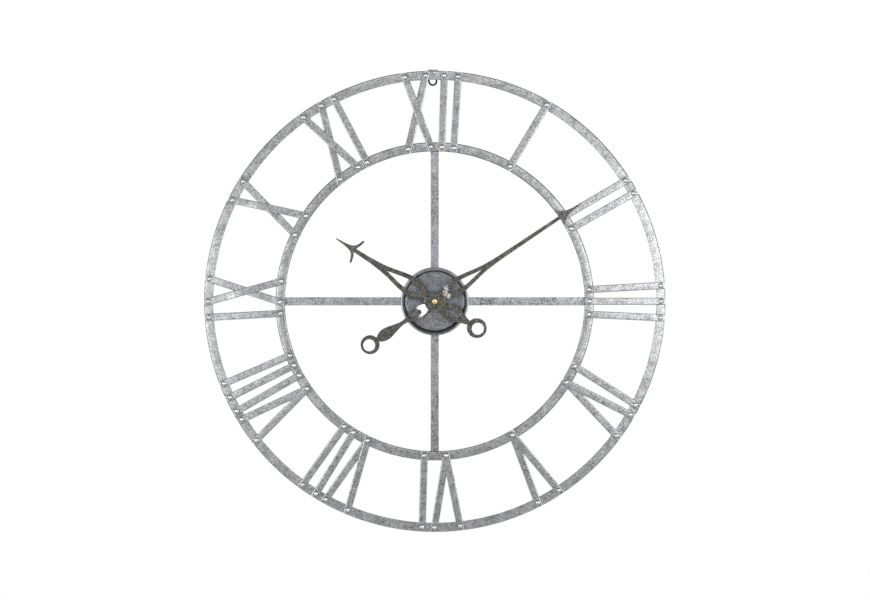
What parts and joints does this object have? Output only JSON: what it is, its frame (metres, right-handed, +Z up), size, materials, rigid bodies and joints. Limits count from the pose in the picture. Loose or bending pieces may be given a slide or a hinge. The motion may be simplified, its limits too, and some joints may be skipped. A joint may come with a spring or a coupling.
{
  "type": "skeleton wall clock",
  "caption": "Large round skeleton wall clock: riveted flat-bar Roman numerals between two sheet-steel rings, spokes to a hub pan, pierced hands and a quartz movement behind.",
  "frame": {"origin": "on the wall, straight behind the arbor at the centre of the dial", "axes": "+Z up, the dial faces -Y, +X to the right as seen from the front"},
  "size_m": [0.8, 0.0351, 0.8034],
  "materials": {
    "galvanised_steel": "hot-dip galvanised sheet, mottled grey spangle",
    "galvanised_bar": "galvanised flat bar, finely mottled, bright rounded edges",
    "rivet_steel": "zinc-plated domed rivet, semi-gloss",
    "black_wire": "black enamelled wire",
    "dark_pewter": "dark aged pewter tone, finely speckled",
    "brass": "turned brass",
    "black_plastic": "moulded, fine matt texture",
    "white_plastic": "natural acetal",
    "knob_plastic": "moulded, pale grey",
    "plated_steel": "nickel plated",
    "board": "green solder resist",
    "copper_wire": "enamelled copper wire, close wound",
    "magnet": "sintered magnet on a moulded pinion",
    "cell_sleeve": "plain unprinted sleeve, satin",
    "rubber": "moulded washer"
  },
  "bodies": {
    "frame": {"outer_band": "galvanised_steel", "outer_rim": "galvanised_steel", "inner_ring": "galvanised_steel", "hub_pan": "galvanised_steel", "spoke_top": "galvanised_steel", "spoke_right": "galvanised_steel", "spoke_bottom": "galvanised_steel", "spoke_left": "galvanised_steel", "numeral_01_bars": "galvanised_bar", "numeral_02_bars": "galvanised_bar", "numeral_03_bars": "galvanised_bar", "numeral_04_bars": "galvanised_bar", "numeral_05_bars": "galvanised_bar", "numeral_06_bars": "galvanised_bar", "numeral_07_bars": "galvanised_bar", "numeral_08_bars": "galvanised_bar", "numeral_09_bars": "galvanised_bar", "numeral_10_bars": "galvanised_bar", "numeral_11_bars": "galvanised_bar", "numeral_12_bars": "galvanised_bar", "numeral_04_joggled_bar": "galvanised_bar", "numeral_05_joggled_bar": "galvanised_bar", "numeral_06_joggled_bar": "galvanised_bar", "numeral_07_joggled_bar": "galvanised_bar", "numeral_08_joggled_bar": "galvanised_bar", "numeral_09_joggled_bar": "galvanised_bar", "numeral_10_joggled_bar": "galvanised_bar", "numeral_11_joggled_bar": "galvanised_bar", "numeral_12_joggled_bar": "galvanised_bar", "outer_rivets": "rivet_steel", "inner_rivets": "rivet_steel", "hanger_plate": "galvanised_steel", "movement_case": "black_plastic", "movement_cover": "black_plastic", "train_plate": "white_plastic", "plate_screws": "plated_steel", "circuit_board": "board", "quartz_crystal": "plated_steel", "coil_core": "plated_steel", "coil_winding": "copper_wire", "stator": "plated_steel", "battery": "cell_sleeve", "positive_contact": "plated_steel", "negative_contact": "plated_steel", "stem_nut": "brass", "stem_washer": "rubber"},
    "hanging_ring": {"hanger_ring": "black_wire"},
    "minute_hand": {"minute_wheel": "brass", "minute_hand": "dark_pewter", "hand_nut": "brass"},
    "hour_hand": {"hour_wheel": "white_plastic", "hour_hand": "dark_pewter"},
    "motion_wheel": {"motion_wheel": "white_plastic"},
    "setting_knob": {"setting_knob": "knob_plastic"},
    "third_wheel": {"third_wheel": "white_plastic"},
    "seconds_wheel": {"seconds_wheel": "white_plastic"},
    "intermediate_wheel": {"intermediate_wheel": "white_plastic"},
    "rotor": {"rotor": "magnet"}
  },
  "joints": [
    {"name": "hanging_ring_swing", "type": "hinge", "parent": "frame", "child": "hanging_ring", "pos_m": [-0.0035, -0.00358, 0.3894], "axis": [1, 0, 0], "range_deg": [-90, 8]},
    {"name": "minute_hand_turn", "type": "hinge", "parent": "frame", "child": "minute_hand", "pos_m": [0, -0.02, 0], "axis": [0, 1, 0], "continuous": true},
    {"name": "hour_hand_turn", "type": "hinge", "parent": "frame", "child": "hour_hand", "pos_m": [0, -0.02, 0], "axis": [0, 1, 0], "continuous": true},
    {"name": "motion_wheel_turn", "type": "hinge", "parent": "frame", "child": "motion_wheel", "pos_m": [0.01039, -0.013, 0.006], "axis": [0, 1, 0], "continuous": true},
    {"name": "setting_knob_turn", "type": "hinge", "parent": "frame", "child": "setting_knob", "pos_m": [0.01639, -0.008, 0.01639], "axis": [0, 1, 0], "continuous": true},
    {"name": "third_wheel_turn", "type": "hinge", "parent": "frame", "child": "third_wheel", "pos_m": [-0.00998, -0.01, 0.00576], "axis": [0, 1, 0], "continuous": true},
    {"name": "seconds_wheel_turn", "type": "hinge", "parent": "frame", "child": "seconds_wheel", "pos_m": [-0.00809, -0.01, 0.01647], "axis": [0, 1, 0], "continuous": true},
    {"name": "intermediate_wheel_turn", "type": "hinge", "parent": "frame", "child": "intermediate_wheel", "pos_m": [-0.0166, -0.01, 0.01798], "axis": [0, 1, 0], "continuous": true},
    {"name": "rotor_turn", "type": "hinge", "parent": "frame", "child": "rotor", "pos_m": [-0.02141, -0.01, 0.01109], "axis": [0, 1, 0], "continuous": true}
  ],
  "couplings": [
    {"joint": "hour_hand_turn", "follows": "minute_hand_turn", "ratio": 0.083333},
    {"joint": "motion_wheel_turn", "follows": "minute_hand_turn", "ratio": -0.33333},
    {"joint": "setting_knob_turn", "follows": "minute_hand_turn", "ratio": 1},
    {"joint": "third_wheel_turn", "follows": "minute_hand_turn", "ratio": -8},
    {"joint": "seconds_wheel_turn", "follows": "minute_hand_turn", "ratio": 60},
    {"joint": "intermediate_wheel_turn", "follows": "minute_hand_turn", "ratio": -300},
    {"joint": "rotor_turn", "follows": "minute_hand_turn", "ratio": 1800}
  ]
}
